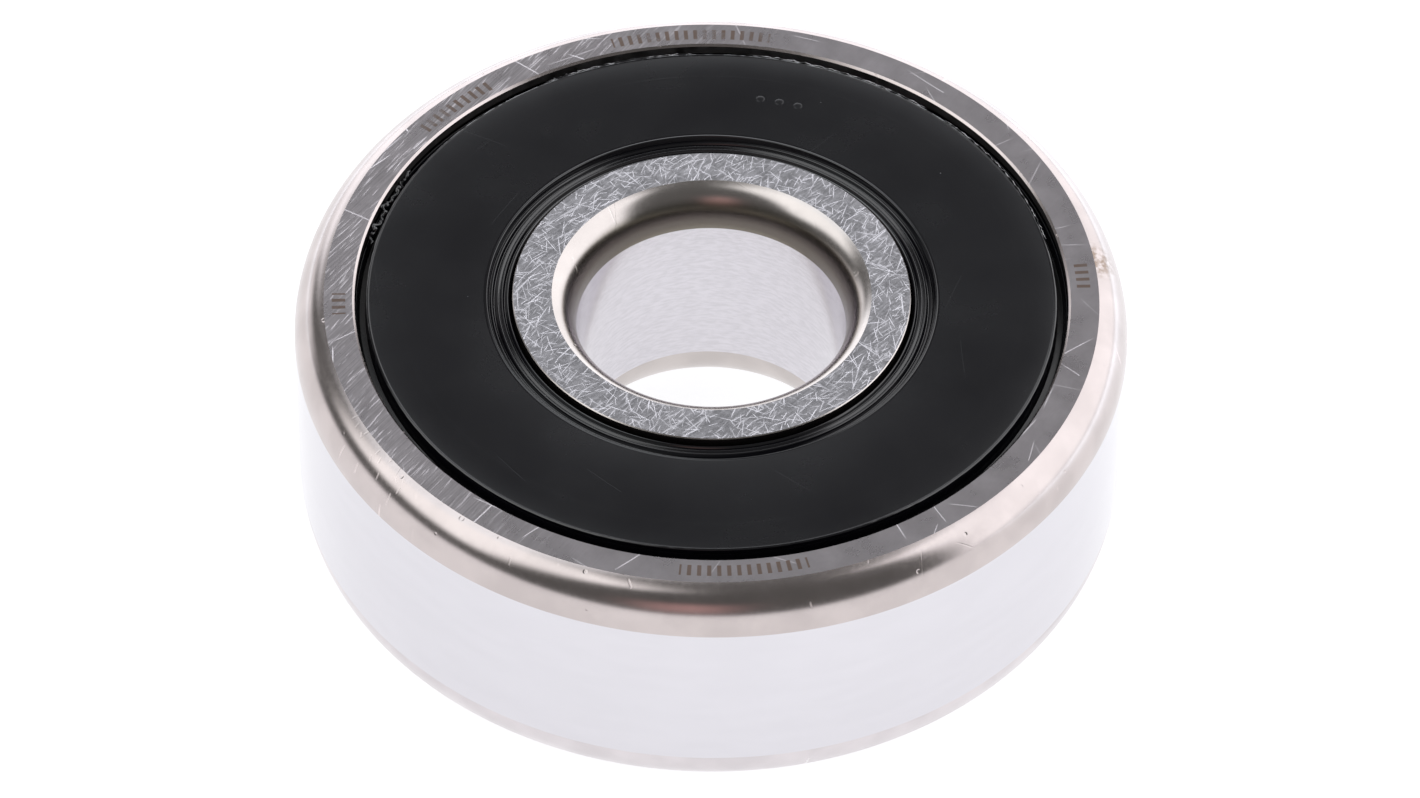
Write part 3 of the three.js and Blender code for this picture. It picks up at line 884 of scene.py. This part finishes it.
GAP = 0.04
FACE_DEPTH = 0.05
INSIDE_DEPTH = WASHER_DEPTH + WASHER_SHEET
RIM_R = 15.28
RIM_REACH, RIM_SWING, RIM_SHALLOW = 0.08, 0.010, 0.2
rubber_outline = [
    (8.90, 0.44, 0.02, LIP),
    (9.04, 0.20, 0.05, LIP),
    (9.16, 0.42, 0.03, LIP),
    (9.28, 0.21, 0.05, LIP),
    (9.38, 0.31, 0.02, LIP),
    (9.49, 0.21, 0.05, LIP),
    (9.62, 0.46, 0.04, LIP),
    (9.74, 0.25, 0.05, LIP),
    (9.85, 0.34, 0.02, LIP),
    (9.94, FACE_DEPTH - 0.01, 0.045, LIP),
    (10.03, FACE_DEPTH + 0.01, 0.02, LIP),
    (10.10, FACE_DEPTH, 0.0, FACE),
    (13.70, FACE_DEPTH, 0.0, FACE),
    (13.745, FACE_DEPTH, 0.0, FACE),
    (13.78, FACE_DEPTH - 0.004, 0.0, FACE),
    (13.815, FACE_DEPTH, 0.0, FACE),
    (13.86, FACE_DEPTH, 0.0, FACE),
    (15.08, FACE_DEPTH, 0.0, FACE),
    (15.15, FACE_DEPTH + 0.01, 0.02, FACE),
    (RIM_R - 0.07, FACE_DEPTH - 0.03, 0.03, LIP),
    (RIM_R, FACE_DEPTH + 0.02, 0.02, LIP),
    (RIM_R + 0.03, 0.92, 0.05, FACE),
    (15.60, 0.98, 0.03, FACE),
    (15.75, 0.62, 0.03, FACE),
    (16.11, 0.97, 0.05, LIP),
    (16.11, 1.51, 0.05, LIP),
    (WASHER_OUTER_R + GAP, 1.51, 0.0, LIP),
    (WASHER_OUTER_R + GAP, WASHER_DEPTH - GAP, 0.1, LIP),
    (WASHER_INNER_R - GAP, WASHER_DEPTH - GAP, 0.0, LIP),
    (WASHER_INNER_R - GAP, INSIDE_DEPTH, 0.03, LIP),
    (9.70, INSIDE_DEPTH, 0.1, LIP),
    (9.40, 0.75, 0.1, LIP),
    (9.10, 1.02, 0.05, LIP),
    (8.90, 1.02, 0.05, LIP),
]


def ragged(angle, seed, waves=24, finest=150):
    """An uneven height between about -1 and 1 round the ring: sines of random count, phase and size."""
    draw = np.random.default_rng(seed)
    counts = draw.integers(5, finest, waves)
    phases = draw.uniform(0, 2 * math.pi, waves)
    sizes = draw.uniform(0.3, 1.0, waves)
    total = sum(size * np.sin(count * angle + phase) for size, count, phase in zip(sizes, counts, phases))
    return total / sizes.sum() * 2.2


def trimmed_rim(points, angle):
    """The rubber's points after trimming: those near its rim move in and out, and up and down, unevenly."""
    radius = np.hypot(points[..., 0], points[..., 1])
    swing = RIM_SWING * np.clip(1.0 - np.abs(radius - RIM_R) / RIM_REACH, 0.0, 1.0)
    moved = points.copy()
    moved[..., :2] *= (1.0 + swing * ragged(angle, 5, 30, 170) / radius)[..., None]
    outwards = np.sign(points[..., 2] - MIDDLE)
    shallow = np.abs(points[..., 2] - MIDDLE) > MIDDLE - RIM_SHALLOW
    moved[..., 2] += shallow * outwards * swing * ragged(angle, 6, 30, 170)
    return moved


finishes = [seal_face, seal_lip]
for side, upper in (("lower", False), ("upper", True)):
    outline = from_side(rubber_outline, upper)
    rubber = turned_ring("moulded_" + side + "_rubber", outline, finishes, around=704, moved=trimmed_rim)
    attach(rubber, "outer_ring")
    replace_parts(rubber, side + "_seal_rubber")


# ---------------------------------------------------------------------------------------------------------
# Flash. Shreds of rubber that trimming left: three dark curls in the groove between the upper seal and the
# outer ring, and three thin threads on the seal's rim, painted pale in patches as a painted highlight.
def curl(name, start, end, middle_r, depth, waves, swing, thick, seed, finish):
    """A lumpy tube that winds round the bearing from one angle to the other, in degrees from the -Y side.

    Its middle lies about depth below the side face. It swings in and out, and up and down, by about swing,
    the given number of times and with an uneven drift besides. Its thickness is that of a rod with round
    ends, times an uneven wave. Each end closes on a single point. All lengths are in mm.
    """
    t = np.linspace(0.0, 1.0, 60 + int(6 * (end - start)))
    angle = np.radians(start + (end - start) * t)
    drift = ragged(2 * math.pi * t, seed, 6, int(10 + 2 * waves))
    radius = middle_r + swing * (0.7 * np.sin(2 * math.pi * waves * t) + 0.7 * drift)
    height = WIDTH - depth + swing * np.sin(2 * math.pi * (waves + 1.3) * t + 1.0)
    middle = np.stack([radius * np.sin(angle), -radius * np.cos(angle), height], axis=-1)
    ahead = np.gradient(middle, axis=0)
    ahead /= np.linalg.norm(ahead, axis=1, keepdims=True)
    aside = np.cross(ahead, (0.0, 0.0, 1.0))
    aside /= np.linalg.norm(aside, axis=1, keepdims=True)
    above = np.cross(aside, ahead)
    lumps = 1.0 + 0.35 * ragged(2 * math.pi * t, seed + 1, 8, int(20 + 4 * waves))
    size = (thick * (1.0 - (2 * t - 1) ** 8) ** 0.5 * lumps)[:, None, None]
    around = 12
    turn = np.linspace(0.0, 2 * math.pi, around, endpoint=False)[None, :, None]
    rings = middle[:, None] + size * (np.cos(turn) * aside[:, None] + np.sin(turn) * above[:, None])
    points = np.concatenate([rings[1:-1].reshape(-1, 3), middle[:1], middle[-1:]])
    return mesh_piece(name, points, tube_faces(len(t) - 2, around), [finish])


# The threads' rubber: black, painted pale in patches as a painted highlight on them.
flash_painted_glints, tree, shader, position = material("flash_painted_glints", (0.30, 0.30, 0.31), 0.0, 0.5)
shreds_and_glints = noise(tree, position, 2600.0, 3.0)
colour = blend(tree, step(tree, shreds_and_glints, 0.42, 0.60), (0.02, 0.02, 0.023), (0.62, 0.62, 0.64))
tree.links.new(colour, shader.inputs["Base Color"])
tree.links.new(calc(tree, "MULTIPLY_ADD", shreds_and_glints, 0.3, 0.3), shader.inputs["Roughness"])
bumped(tree, shader, shreds_and_glints, 0.4, 0.01 * MM)
flash_rows = (
    # start, end, middle radius, depth, waves, swing, thickness, seed, finish
    (-119.0, -101.0, 15.54, 0.28, 2.6, 0.10, 0.100, 21, seal_lip),
    (-157.0, -151.0, 15.60, 0.44, 1.2, 0.08, 0.050, 33, seal_lip),
    (152.0, 157.0, 15.46, 0.40, 1.0, 0.08, 0.045, 47, seal_lip),
    (141.0, 174.0, 15.32, 0.05, 13.0, 0.020, 0.019, 52, flash_painted_glints),
    (104.0, 137.0, 15.32, 0.05, 14.0, 0.020, 0.018, 58, flash_painted_glints),
    (-176.0, -150.0, 15.31, 0.05, 11.0, 0.016, 0.013, 63, flash_painted_glints),
)
for i, row in enumerate(flash_rows):
    piece = curl("trimmed_flash_" + str(i + 1), *row)
    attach(piece, "outer_ring")

# ---------------------------------------------------------------------------------------------------------
# Mould pips. Three low round pips on the upper seal's face, where the mould's ejector pins stood.
PIP_R, PIP_HEIGHT, PIP_CIRCLE_R = 0.20, 0.020, 12.55
pip_arc = np.radians(np.linspace(-90, 90, 13))
pip_section = np.stack([PIP_R * np.cos(pip_arc), PIP_HEIGHT * np.sin(pip_arc)], axis=-1)
for i, degrees in enumerate((162.5, 166.5, 170.5)):
    a = math.radians(degrees)
    centre = (PIP_CIRCLE_R * math.sin(a), -PIP_CIRCLE_R * math.cos(a), WIDTH - FACE_DEPTH)
    pip = turned_solid("mould_pip_" + str(i + 1), pip_section, centre, [seal_face], around=24)
    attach(pip, "outer_ring")
